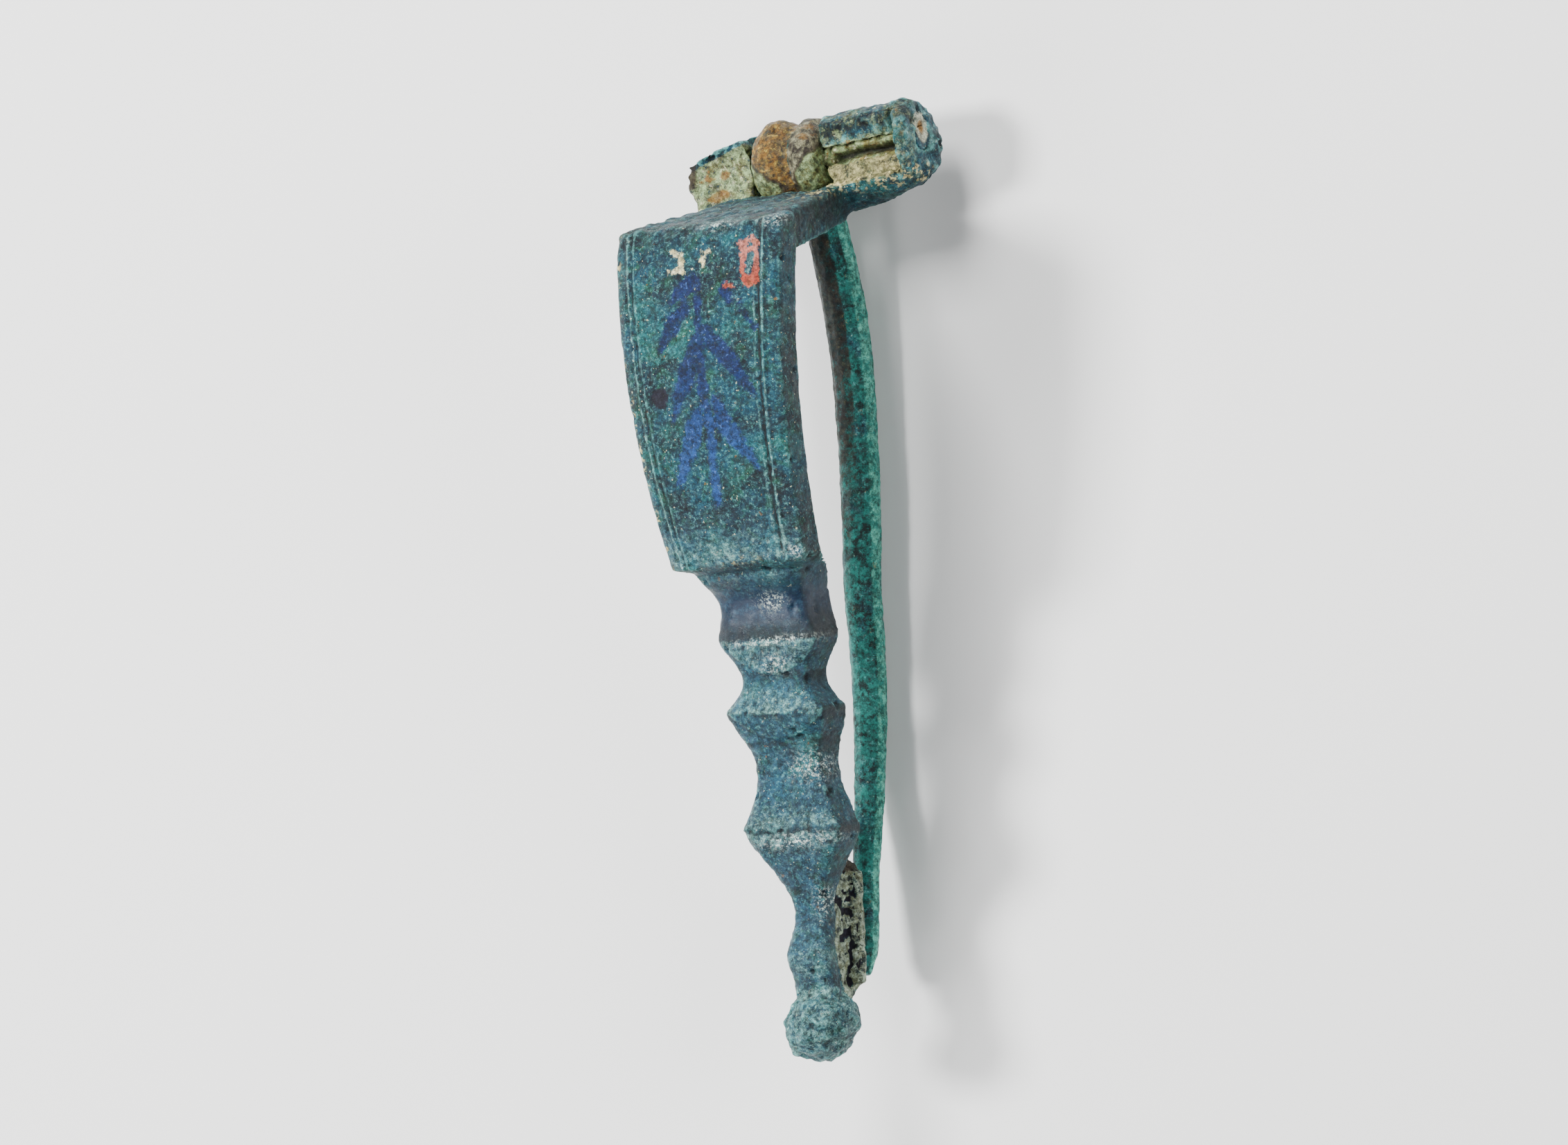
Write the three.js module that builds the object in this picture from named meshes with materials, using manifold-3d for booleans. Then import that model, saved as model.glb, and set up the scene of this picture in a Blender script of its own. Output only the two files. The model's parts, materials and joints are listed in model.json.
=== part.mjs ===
// A Roman hinged bow brooch (fibula) of cast copper alloy, lying on its back as it comes to rest on a table.
// One casting carries the crossbar, the arched bow and the catchplate; an iron axis bar runs through the
// crossbar, and a loose wire pin turns on it.
//
// Everything is drawn in the brooch's own frame, in millimetres: x across, y along towards the head,
// z towards the front of the bow, with the origin on the hinge axis at the middle of the crossbar.
// The outermost group then rolls and pitches the brooch onto the three points it rests on.
import * as THREE from "three";
import { mergeVertices } from "three/addons/utils/BufferGeometryUtils.js";
import Module from "manifold-3d";

const wasm = await Module();
wasm.setup();

// Crossbar: a rolled trough, open to the front. A plate closes its right end; the left end is broken.
const CROSSBAR_TURN = THREE.MathUtils.degToRad(4.6); // it sits askew on the bow, right end towards the head
const WING_END = { left: -7.35, right: 7.92 };
const WING_HEIGHT = { middle: 2.95, end: 2.48 }; // half height across the bar, along y
const WING_DEPTH = 2.45; // half depth, along z
const WING_SAG = 0.55; // how far the middle hangs towards the foot
const WING_ROUNDING = 0.7; // rounding of each end's edge
const TROUGH_RADIUS = 1.85;
const TROUGH_LIP = -1.5; // the trough's edge on the bow's side
const TROUGH_FLARE = { lip: -0.2, wall: 0.25 }; // how far its two sides lean outwards at the mouth
const TROUGH_FILL = { left: 1.45, right: 0.35 }; // how far dirt and rust clog each wing's trough
const END_PLATE = 0.65;
const BROKEN_EDGE = { start: -1.5, startHeight: 2.5, endHeight: 1.1 }; // where the left upper wall is lost
const HINGE_SLOT = { left: -3.1, right: 1.9 }; // gap between the wings, where the pin's head sits
const SLOT_PLAY = 0.25; // room around the pin's head
const WIRE_SLOT = { half: 1.75, ceiling: 0.85 }; // the way out for the wire, below and behind the bar
const BEYOND = 8; // a cutter's reach well past the crossbar

// Axis bar: iron, through both wings and the pin's head.
const AXIS_RADIUS = 0.75;
const AXIS_END = { left: -7.4, right: 7.95 };
const BEARING_PLAY = 0.2;

// Head plate: the flat top of the bow, from the crossbar forward to the panel.
const HEAD_SPAN = { left: -3.7, right: 2.9 }; // its width where it leaves the crossbar
const HEAD_THICKNESS = { crossbar: 2.3, bend: 2.35, panel: 3.3 };
const HEAD_TAPER = 0.25; // how much narrower its underside is on each side
const HEAD_BEND = 0.78; // where the underside starts to curve into the back of the panel
const HEAD_ROOT = { y: -1.35, z: 0.6 };

// Panel: the arched strip that carries the inlay, between two grooved borders.
const PANEL_END = { top: -2.95, foot: -22.6 };
const PANEL_CREST = { y: -12.3, z: 14.15, arch: 36 }; // highest point, and the radius of the arch
const PANEL_HALF = { top: 5.68, foot: 4.6, taper: 1.5 };
const PANEL_BORDER = 1.02;
const BORDER_DROP = 0.4;
const PANEL_CROWN = 0.22; // how much the field swells between its grooves
const PANEL_THICKNESS = 2.65;
const GROOVE = { width: 0.3, depth: 0.22 };

// Lower bow, from the panel down to the foot. A crest is a sharp ridge, a hollow a smooth waist.
const LOWER_SKEW = 0.045; // the mouldings lie a little askew, right end towards the foot
const MOULDINGS = [
  { kind: "crest", y: -21.6, half: 4.3, front: 12.6, back: 10.2, bevel: 0.9, drop: 0.4 },
  { kind: "crest", y: -22.65, half: 4.3, front: 12.5, back: 9.4, bevel: 0.9, drop: 0.4 },
  { kind: "crest", y: -22.95, half: 3.6, front: 11.9, back: 8.1, bevel: 1.0, drop: 0.6 },
  { kind: "hollow", y: -25.1, half: 2.98, front: 10.5, back: 7.0, bevel: 1.1, drop: 0.4 },
  { kind: "crest", y: -27.0, half: 3.4, front: 10.45, back: 7.3, bevel: 1.0, drop: 0.5 },
  { kind: "hollow", y: -29.4, half: 2.2, front: 10.0, back: 7.3, bevel: 0.6, drop: 0.35 },
  { kind: "crest", y: -31.1, half: 3.38, front: 10.4, back: 7.4, bevel: 0.7, drop: 0.4 },
  { kind: "hollow", y: -34.5, half: 2.2, front: 9.5, back: 7.0, bevel: 0.5, drop: 0.3 },
  { kind: "crest", y: -38.0, half: 3.35, front: 10.0, back: 7.2, bevel: 0.8, drop: 0.4 },
  { kind: "hollow", y: -42.8, half: 1.08, front: 8.85, back: 7.3, bevel: 0.4, drop: 0.25 },
  { kind: "hollow", y: -45.5, half: 1.45, front: 9.85, back: 8.4, bevel: 0.6, drop: 0.4 },
  { kind: "hollow", y: -46.9, half: 1.38, front: 9.4, back: 8.2, bevel: 0.6, drop: 0.4 },
  { kind: "hollow", y: -49.2, half: 1.4, front: 9.2, back: 8.0, bevel: 0.6, drop: 0.4 },
];
const STEPS_PER_MOULDING = 6;
const KNOB = { y: -49.35, z: 8.45, across: 2.12, along: 2.05, through: 2.15 };

// Catchplate behind the foot, its edge rolled up into a bead that the pin lies against.
const CATCH_HALF_THICKNESS = 0.5;
const CATCH_OUTLINE = [
  [-38.6, 8.2], [-40.5, 3.8], [-44.0, 4.05], [-47.3, 4.9], [-48.7, 6.4], [-48.9, 8.7], [-45.2, 9.0], [-43.2, 8.3],
];
const CATCH_BEAD = { from: -40.8, to: -47.3, reach: 1.0, height: 0.95, underside: [4.0, 4.25, 4.85] };

// Pin: a wire bent outwards below its hinge, its point resting just behind the catchplate's edge.
const PIN_HEAD = [
  [-2.85, 1.75], [-2.5, 2.3], [-1.75, 2.65], [-0.95, 2.55], [-0.35, 2.15],
  [0.05, 2.15], [0.55, 2.5], [1.1, 2.4], [1.5, 2.0], [1.65, 1.6],
];
const PIN_ROUTE = [
  { x: 0, y: -0.9, z: -0.5, r: 1.25 },
  { x: 0.05, y: -4.6, z: -1.2, r: 1.22 },
  { x: 0.3, y: -7.5, z: -1.4, r: 1.28 },
  { x: 0.5, y: -10.9, z: -1.4, r: 1.25 },
  { x: 0.54, y: -14.7, z: -1.2, r: 1.2 },
  { x: 0.45, y: -20.7, z: -0.68, r: 1.16 },
  { x: 0.2, y: -24.8, z: -0.35, r: 1.11 },
  { x: 0.2, y: -27.5, z: -0.22, r: 1.07 },
  { x: 0.14, y: -30.8, z: 0, r: 1.02 },
  { x: 0.08, y: -33, z: 0.3, r: 0.97 },
  { x: 0, y: -36.9, z: 1.08, r: 0.9 },
  { x: 0, y: -40.7, z: 2.15, r: 0.8 },
  { x: 0, y: -44.1, z: 2.85, r: 0.75 },
  { x: 0, y: -45.6, z: 3.1, r: 0.67 },
  { x: 0, y: -46.9, z: 3.5, r: 0.32 },
];
const PIN_SIDES = 12;
const PIN_STEPS = 48;

// How the brooch lies on a table: on its back, leaning on the left wing's end and two places along the pin.
const REST_PITCH = THREE.MathUtils.degToRad(4.5);
const REST_ROLL = THREE.MathUtils.degToRad(-8.5);

const bronze = new THREE.MeshStandardMaterial({ color: 0x4f7a7c, roughness: 0.55, metalness: 0.5 });
const pinBronze = new THREE.MeshStandardMaterial({ color: 0x3f8f80, roughness: 0.6, metalness: 0.35 });
const iron = new THREE.MeshStandardMaterial({ color: 0x8a6238, roughness: 0.9, metalness: 0.1 });

// A closed three.js geometry as a manifold solid.
function solid(geometry) {
  const bare = new THREE.BufferGeometry();
  const source = geometry.index ? geometry.toNonIndexed() : geometry;
  bare.setAttribute("position", source.getAttribute("position").clone());
  const merged = mergeVertices(bare, 1e-4);
  return new wasm.Manifold(
    new wasm.Mesh({
      numProp: 3,
      vertProperties: merged.getAttribute("position").array,
      triVerts: new Uint32Array(merged.index.array),
    }),
  );
}

// A manifold solid as a named mesh.
function named(name, made, material) {
  const { vertProperties, triVerts } = made.getMesh();
  const geometry = new THREE.BufferGeometry();
  geometry.setAttribute("position", new THREE.BufferAttribute(new Float32Array(vertProperties), 3));
  geometry.setIndex(new THREE.BufferAttribute(new Uint32Array(triVerts), 1));
  geometry.computeVertexNormals();
  const mesh = new THREE.Mesh(geometry, material);
  mesh.name = name;
  return mesh;
}

// A solid through a row of rings with equally many points, its two ends closed by fans.
function loft(rings) {
  const count = rings[0].length;
  const points = rings.flat();
  const faces = [];
  for (let i = 0; i + 1 < rings.length; i++) {
    for (let j = 0; j < count; j++) {
      const a = i * count + j;
      const b = i * count + ((j + 1) % count);
      faces.push(a, b, b + count, a, b + count, a + count);
    }
  }
  for (const [ring, turned] of [[0, true], [rings.length - 1, false]]) {
    const middle = points.push(centre(rings[ring])) - 1;
    for (let j = 0; j < count; j++) {
      const a = ring * count + j;
      const b = ring * count + ((j + 1) % count);
      faces.push(middle, turned ? b : a, turned ? a : b);
    }
  }
  const geometry = new THREE.BufferGeometry().setFromPoints(points);
  geometry.setIndex(faces);
  const made = solid(geometry);
  if (made.volume() > 0) return made;
  geometry.setIndex(faces.reverse());
  return solid(geometry);
}

function centre(ring) {
  return ring.reduce((sum, p) => sum.add(p), new THREE.Vector3()).divideScalar(ring.length);
}

// A round bar along x whose profile is a list of [x, radius] pairs.
function barAlongX(profile, sides) {
  const ends = [[profile[0][0], 0], ...profile, [profile[profile.length - 1][0], 0]];
  const outline = ends.map(([x, radius]) => new THREE.Vector2(radius, x));
  const geometry = new THREE.LatheGeometry(outline, sides).rotateZ(-Math.PI / 2);
  return solid(geometry);
}

// A prism whose outline lies in the y-z plane, between two values of x.
function prismAcross(outline, from, to) {
  const shape = new THREE.Shape(outline.map(([y, z]) => new THREE.Vector2(y, z)));
  const geometry = new THREE.ExtrudeGeometry(shape, { depth: to - from, bevelEnabled: false });
  const axes = new THREE.Matrix4().makeBasis(
    new THREE.Vector3(0, 1, 0), new THREE.Vector3(0, 0, 1), new THREE.Vector3(1, 0, 0),
  );
  return solid(geometry.applyMatrix4(axes).translate(from, 0, 0));
}

// The ring of one section of the bow: a convex front between two bevelled borders, and a flat back.
function bowRing({ y, half, front, back, bevel, drop, crown = 0, groove = 0, skew = 0 }) {
  const field = half - bevel;
  const edge = front - crown;
  const width = Math.min(GROOVE.width, bevel * 0.4);
  const right = [
    [0.55 * field, front - 0.3 * crown],
    [field, edge],
    [field + width / 2, edge - 0.1 * drop - groove],
    [field + width, edge - 0.2 * drop],
    [half - 0.25 * bevel, edge - 0.62 * drop],
    [half, edge - drop],
    [half, (edge - drop + back) / 2],
    [half * 0.97, back],
  ];
  const left = right.map(([x, z]) => [-x, z]).reverse();
  return [[0, front], ...right, [0, back], ...left].map(([x, z]) => new THREE.Vector3(x, y - skew * x, z));
}

function panelFront(y) {
  return PANEL_CREST.z - (y - PANEL_CREST.y) ** 2 / (2 * PANEL_CREST.arch);
}

function panel() {
  const { top, foot } = PANEL_END;
  const steps = 8;
  const rings = Array.from({ length: steps + 1 }, (_, i) => {
    const along = i / steps;
    const y = THREE.MathUtils.lerp(top, foot, along);
    return bowRing({
      y,
      half: THREE.MathUtils.lerp(PANEL_HALF.top, PANEL_HALF.foot, along ** PANEL_HALF.taper),
      front: panelFront(y),
      back: panelFront(y) - PANEL_THICKNESS,
      bevel: PANEL_BORDER,
      drop: BORDER_DROP,
      crown: PANEL_CROWN,
      groove: GROOVE.depth,
    });
  });
  return loft(rings);
}

// How far along the way from one moulding to the next the profile has gone, at t from 0 to 1.
function ease(from, to, t) {
  if (from.kind === "hollow" && to.kind === "hollow") return (1 - Math.cos(Math.PI * t)) / 2;
  if (from.kind === "hollow") return 1 - Math.cos((Math.PI * t) / 2);
  if (to.kind === "hollow") return Math.sin((Math.PI * t) / 2) ** 1.5;
  return t;
}

function lowerBow() {
  const rings = [bowRing(MOULDINGS[0])];
  for (let i = 1; i < MOULDINGS.length; i++) {
    const from = MOULDINGS[i - 1];
    const to = MOULDINGS[i];
    const steps = from.kind === to.kind && from.kind === "crest" ? 1 : STEPS_PER_MOULDING;
    for (let s = 1; s <= steps; s++) {
      const t = s / steps;
      const share = ease(from, to, t);
      const section = { y: THREE.MathUtils.lerp(from.y, to.y, t) };
      for (const size of ["half", "front", "back", "bevel", "drop"]) {
        section[size] = THREE.MathUtils.lerp(from[size], to[size], share);
      }
      section.skew = LOWER_SKEW * Math.min(1, (i - 1 + t) / 3);
      rings.push(bowRing(section));
    }
  }
  return loft(rings);
}

function knob() {
  const ball = new THREE.SphereGeometry(1, 20, 14);
  return solid(ball.scale(KNOB.across, KNOB.along, KNOB.through).translate(0, KNOB.y, KNOB.z));
}

function headPlate() {
  const { top } = PANEL_END;
  const end = { y: top, z: panelFront(top) - PANEL_CROWN - BORDER_DROP };
  const ring = (along, thickness) => {
    const left = THREE.MathUtils.lerp(HEAD_SPAN.left, -PANEL_HALF.top, along);
    const right = THREE.MathUtils.lerp(HEAD_SPAN.right, PANEL_HALF.top, along);
    const y = THREE.MathUtils.lerp(HEAD_ROOT.y, end.y, along);
    const z = THREE.MathUtils.lerp(HEAD_ROOT.z, end.z, along);
    const under = y - thickness;
    const corners = [[right, y], [right - HEAD_TAPER, under], [left + HEAD_TAPER, under], [left, y]];
    return corners.map(([x, depth]) => new THREE.Vector3(x, depth, z));
  };
  const { crossbar: root, bend, panel: front } = HEAD_THICKNESS;
  return loft([ring(0, root), ring(HEAD_BEND, bend), ring(1, front)]);
}

// One ring of the crossbar's outside, in the y-z plane.
function wingRing(x, inset) {
  const along = Math.min(1, Math.abs(x) / WING_END.right) ** 2;
  const height = THREE.MathUtils.lerp(WING_HEIGHT.middle, WING_HEIGHT.end, along) - inset;
  const low = -WING_SAG * (1 - along);
  const sides = 28;
  return Array.from({ length: sides }, (_, i) => {
    const turn = (2 * Math.PI * i) / sides;
    return new THREE.Vector3(x, low + height * Math.cos(turn), (WING_DEPTH - inset) * Math.sin(turn));
  });
}

// A round hollow along x between two values of x.
function bore(from, to, radius) {
  return barAlongX([[from, radius], [to, radius]], 28);
}

// What is taken out of a wing to leave its trough, down to a floor at the given height.
function trough(from, to, floor) {
  const round = bore(from, to, TROUGH_RADIUS);
  const { lip, wall } = TROUGH_FLARE;
  const top = 2 * WING_DEPTH;
  const mouth = [[TROUGH_LIP, 0], [TROUGH_RADIUS, 0], [TROUGH_RADIUS + wall, top], [TROUGH_LIP + lip, top]];
  const above = [[-BEYOND, floor], [BEYOND, floor], [BEYOND, BEYOND], [-BEYOND, BEYOND]];
  return round.add(prismAcross(mouth, from, to)).intersect(prismAcross(above, from, to));
}

// The wedge that the left wing's upper wall has lost.
function brokenWedge() {
  const { start, startHeight, endHeight } = BROKEN_EDGE;
  const beyond = WING_END.left - 1;
  const shape = new THREE.Shape([
    new THREE.Vector2(start, startHeight),
    new THREE.Vector2(WING_END.left, endHeight),
    new THREE.Vector2(beyond, endHeight),
    new THREE.Vector2(beyond, BEYOND),
    new THREE.Vector2(start, BEYOND),
  ]);
  const depth = 2 * BEYOND;
  return solid(new THREE.ExtrudeGeometry(shape, { depth, bevelEnabled: false }).translate(0, 0, -BEYOND));
}

// Room for the wire to swing from its closed place, down past the back, to fully open.
function pinSweep() {
  const { half, ceiling } = WIRE_SLOT;
  const below = [[-BEYOND, ceiling], [BEYOND, ceiling], [BEYOND, -BEYOND], [-BEYOND, -BEYOND]];
  return prismAcross(below, -half, half);
}

function crossbar() {
  const { left, right } = WING_END;
  const profile = [
    [left, WING_ROUNDING], [left + 0.2, 0.25], [left + WING_ROUNDING, 0], [-4, 0], [0, 0],
    [4, 0], [right - WING_ROUNDING, 0], [right - 0.2, 0.25], [right, WING_ROUNDING],
  ];
  const bar = loft(profile.map(([x, inset]) => wingRing(x, inset)));
  const cuts = [
    trough(left - 1, HINGE_SLOT.left + 0.1, TROUGH_FILL.left),
    trough(HINGE_SLOT.right - 0.1, right - END_PLATE, TROUGH_FILL.right),
    bore(left - 1, right + 1, AXIS_RADIUS + BEARING_PLAY),
    brokenWedge(),
  ];
  return cuts.reduce((kept, cut) => kept.subtract(cut), bar);
}

function catchplate() {
  const half = CATCH_HALF_THICKNESS;
  const plate = prismAcross(CATCH_OUTLINE, -half, half);
  const { from, to, reach, height, underside } = CATCH_BEAD;
  const below = [from, (from + to) / 2, to].map((y, i) => [y, underside[i]]);
  const above = below.map(([y, z]) => [y, z + height]).reverse();
  return plate.add(prismAcross([...below, ...above], 0, reach));
}

function body() {
  const askew = THREE.MathUtils.radToDeg(CROSSBAR_TURN);
  const bow = [headPlate(), panel(), lowerBow(), knob(), catchplate()];
  const whole = bow.reduce((all, one) => all.add(one), crossbar().rotate([0, 0, askew]));
  const headRadius = Math.max(...PIN_HEAD.map(([, radius]) => radius));
  const slot = bore(HINGE_SLOT.left, HINGE_SLOT.right, headRadius + SLOT_PLAY);
  return whole.subtract(slot.add(pinSweep()).rotate([0, 0, askew]));
}

function axisBar() {
  return barAlongX([[AXIS_END.left, AXIS_RADIUS], [AXIS_END.right, AXIS_RADIUS]], 20);
}

// The wire of the pin, round in section, along its bent route.
function pinWire() {
  const places = PIN_ROUTE.map(({ x, y, z }) => new THREE.Vector3(x, y, z));
  const route = new THREE.CatmullRomCurve3(places, false, "centripetal");
  const across = new THREE.Vector3(1, 0, 0);
  const last = PIN_ROUTE.length - 1;
  const rings = Array.from({ length: PIN_STEPS + 1 }, (_, i) => {
    const t = i / PIN_STEPS;
    const knot = Math.min(Math.floor(t * last), last - 1);
    const radius = THREE.MathUtils.lerp(PIN_ROUTE[knot].r, PIN_ROUTE[knot + 1].r, t * last - knot);
    const at = route.getPoint(t);
    const out = new THREE.Vector3().crossVectors(across, route.getTangent(t)).normalize();
    return Array.from({ length: PIN_SIDES }, (_, k) => {
      const turn = (2 * Math.PI * k) / PIN_SIDES;
      const side = across.clone().multiplyScalar(radius * Math.cos(turn));
      return at.clone().add(side).addScaledVector(out, radius * Math.sin(turn));
    });
  });
  return loft(rings);
}

function pin() {
  const askew = THREE.MathUtils.radToDeg(CROSSBAR_TURN);
  const head = barAlongX(PIN_HEAD, 28).rotate([0, 0, askew]);
  const hole = bore(-BEYOND, BEYOND, AXIS_RADIUS + BEARING_PLAY).rotate([0, 0, askew]);
  return head.add(pinWire()).subtract(hole);
}

const brooch = new THREE.Group();
brooch.add(named("brooch_body", body(), bronze));
const axis = named("axis_bar", axisBar(), iron);
axis.rotation.z = CROSSBAR_TURN;
brooch.add(axis);
brooch.add(named("pin", pin(), pinBronze));
brooch.rotation.set(REST_PITCH, REST_ROLL, 0, "YXZ");

// The finished part stands on z = 0, centred over the origin.
const lying = new THREE.Group();
lying.add(brooch);
const box = new THREE.Box3().setFromObject(lying, true);
const middle = box.getCenter(new THREE.Vector3());
brooch.position.set(-middle.x, -middle.y, -box.min.z);

export default lying;
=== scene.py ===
"""Looks of an enamelled bronze bow brooch, lying on its back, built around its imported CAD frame.

The brooch's own axes, in millimetres, start at the hinge: x across to the right wing, y towards the head,
z out of the front of the bow. Sizes and places are in these axes unless a comment says otherwise.
"""

import json
import math
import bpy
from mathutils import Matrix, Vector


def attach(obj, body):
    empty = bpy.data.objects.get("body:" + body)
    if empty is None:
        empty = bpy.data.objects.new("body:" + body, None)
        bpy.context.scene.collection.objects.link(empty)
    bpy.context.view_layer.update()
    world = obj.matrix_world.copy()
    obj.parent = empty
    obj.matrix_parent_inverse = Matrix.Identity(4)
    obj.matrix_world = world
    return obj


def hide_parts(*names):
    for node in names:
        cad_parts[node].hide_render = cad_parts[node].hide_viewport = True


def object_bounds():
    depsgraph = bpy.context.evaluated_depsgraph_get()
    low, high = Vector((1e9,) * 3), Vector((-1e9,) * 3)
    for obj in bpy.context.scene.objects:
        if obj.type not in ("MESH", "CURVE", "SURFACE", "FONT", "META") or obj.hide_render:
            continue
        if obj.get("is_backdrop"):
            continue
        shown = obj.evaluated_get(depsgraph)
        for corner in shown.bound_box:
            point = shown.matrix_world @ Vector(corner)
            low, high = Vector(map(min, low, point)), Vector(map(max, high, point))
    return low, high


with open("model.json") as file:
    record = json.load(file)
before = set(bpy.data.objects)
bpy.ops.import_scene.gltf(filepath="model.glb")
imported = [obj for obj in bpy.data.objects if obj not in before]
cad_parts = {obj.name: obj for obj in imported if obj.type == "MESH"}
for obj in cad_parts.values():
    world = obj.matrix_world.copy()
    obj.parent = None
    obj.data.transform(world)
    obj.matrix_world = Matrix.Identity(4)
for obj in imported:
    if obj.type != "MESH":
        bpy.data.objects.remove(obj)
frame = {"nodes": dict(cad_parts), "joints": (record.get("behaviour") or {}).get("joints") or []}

from types import SimpleNamespace

import bpy
import numpy as np
from mathutils import Matrix, Vector

size_after_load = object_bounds()

MM = 0.001

# How the brooch lies: pitched and rolled about its hinge.
REST_PITCH = math.radians(4.5)
REST_ROLL = math.radians(-8.5)
HINGE = np.array(frame["joints"][0]["pos_m"])
TURN = np.array(Matrix.Rotation(REST_ROLL, 3, "Y") @ Matrix.Rotation(REST_PITCH, 3, "X"))

# Edge lengths of the fine meshes.
BODY_GRAIN = 0.152
BAR_GRAIN = 0.1
PIN_GRAIN = 0.1

# The long panel of the bow: its two ends, the crest of its arch, how flat the arch is, its half widths at the
# two ends, and its border.
PANEL_TOP = -2.95
PANEL_FOOT = -22.6
CREST_Y = -12.3
CREST_Z = 14.15
ARCH = 72.0
HALF_TOP = 5.68
HALF_FOOT = 4.6
BORDER = 1.02
# Fine lines cast along the borders: distance in from the edge, height and half width.
GROOVES = ((1.24, -0.12, 0.1), (1.02, 0.06, 0.08), (1.5, 0.04, 0.1))
# Their pale and dark colour: distance in, strength, and how much stronger it is on the right, and weaker on
# the left.
PALE_LINES = ((1.5, 0.25, 0.25), (1.02, 0.75, 0.0))
PALE_LINE_WIDTH = 0.07
DARK_LINES = ((1.24, 0.7, 0.4), (0.82, 0.6, 0.0))
DARK_LINE_WIDTH = 0.09

# The head plate's bend fades in over the first span of y and out over the second.
BEND_BELOW = (-4.4, -3.2)
BEND_ABOVE = (-1.7, -0.7)
# The two waists of the bow: middle and half length.
WAISTS = ((-25.0, 1.1), (-43.5, 2.5))

# The crossbar: how far it is turned, the gap for the knuckle, and the troughs in its two wings.
CROSSBAR_TURN = math.radians(4.6)
HINGE_SLOT = (-3.1, 1.9)
WING_INNER_END = 7.3
TROUGH_SIDES = (-1.8, 1.98)
TROUGH_RIM = 2.2
RIGHT_TROUGH_FLOOR = 0.1
LEFT_TROUGH_FLOOR = 1.2
# The crevice along the right trough's crust, and a hole in that crust: middle and size.
CREVICE = -0.12
CRUST_HOLE = ((2.5, -0.35, 0), (0.5, 0.35, 1))
# Rust round the axis bar's right end: its middle and half size across the crossbar and in height.
STAIN_MIDDLE = (0.66, -0.05)
STAIN_SIZE = (0.95, 0.6)
# Streaks run out from this place across the crossbar.
STREAKS_V = 0.5

# The mouldings run a little askew. Below each of the two upper ridges is a facet with a curved lower edge:
# where the ridge is, how far the facet reaches down, and how strongly it is painted lit.
LOWER_SKEW = 0.045
TOP_RIDGE = -27.0
FACETS = ((TOP_RIDGE, 2.1, 1.0), (-31.1, 1.7, 0.4))
FACET_LIP = 0.12
# The two lower ridges, which are the most eaten.
EATEN_RIDGES = (-31.3, -38.2)
# Painted light and painted shade in bands across the mouldings, with dark pitted rows along the two lower
# ridges: where each starts to show, where it ends sharply, and how strong.
LIT_BANDS = ((-28.8, -31.1, 0.7), (-35.3, -37.9, 0.6), (-40.2, -38.3, 0.65), (-24.6, -23.1, 0.3))
SHADE_AND_PIT_BANDS = (
    (-24.9, -27.0, 1.0),
    (-30.3, -29.0, 0.6),
    (-32.4, -31.15, 0.6),
    (-37.5, -38.3, 0.8),
    (-34.4, -32.9, 0.5),
)
CAVETTO_Y = -25.3
NECK_Y = -45.6

# The terminal knob, with a worn-away corner and a swelling (middle, size and height), and where the
# catchplate hangs down.
KNOB_Y = -46.8
KNOB_LUMPS = (((1.9, -50.9, 8.8), (1.1, 0.9, 3), -0.45), ((-1.7, -50.4, 8.8), (0.8, 0.9, 3), 0.22))
CATCH_TOP_Z = 8.0
CATCH_Y = -38.5
CATCH_HOLES_Z = 5.7

# The pin's knuckle: its middle along the crossbar, and a swelling and a pit, each as middle and size.
KNUCKLE_MIDDLE = -0.3
KNUCKLE_SWELLING = ((-1.3, 2.3, 1.0), (1.0, 1.0, 1.2))
KNUCKLE_PIT = ((-1.15, 2.1, 1.5), (0.22, 0.3, 0.3))

# Spans of y over which something fades in.
WINGS_FROM = (-2.4, -1.4)
KNUCKLE_FROM = (-2.9, -2.0)
ROUGHER_FROM = (-30, -32)
EATEN_KNOB_FROM = (-46, -47.5)
# The panel's gloss, which carries a painted sheen, and its painted light fade in towards the foot over these
# two spans.
GLOSS_AND_SHEEN_PANEL_FROM = (-18.5, -21.5)
LIT_PANEL_FROM = (-18.8, -22.4)
LIGHT_BLUE_FROM = (-10.5, -17)
DEEP_RED_FROM = (-4.6, -6.4)
CATCH_CREAM_FROM = (-10, -30)
EARTHY_WIRE_FROM = (-30, -6)

# Coloured spots, as middle and size.
DARK_SPOT = ((-2.85, -12.65, 14.0), (0.55, 0.6, 9))
BROKEN_END_RUST = ((-7.5, 0.6, 0.5), (0.6, 2.2, 2.2))
CATCH_RUST = ((1, -40.2, 5), (2, 0.8, 2))
OCHRE_SPOTS = ((-5.8, -1.4, 1.5), (-4.9, -0.2, 1.5), (-5.0, -1.3, 1.5))
OCHRE_SIZE = (0.55, 0.35, 2)
# Painted highlights, on the mouldings and at the panel's two ends.
PAINTED_HIGHLIGHTS = (
    ((1.7, -34.6, 9.6), (1.1, 0.7, 2)),
    ((0.5, -28.5, 10.4), (0.8, 0.5, 2)),
    ((1.0, -24.9, 10.5), (0.7, 0.45, 2)),
    ((0.6, -27.15, 10.5), (2.6, 0.2, 2)),
    ((0.4, -38.7, 10), (2.6, 0.35, 2)),
    ((1.0, -42.2, 8.9), (0.35, 0.8, 2)),
    ((1.6, -2.9, 12.8), (1.1, 0.4, 1)),
    ((5.3, -2.9, 12.4), (0.8, 0.5, 1)),
    ((4.1, -22.2, 12.6), (0.4, 0.35, 1)),
)

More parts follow.
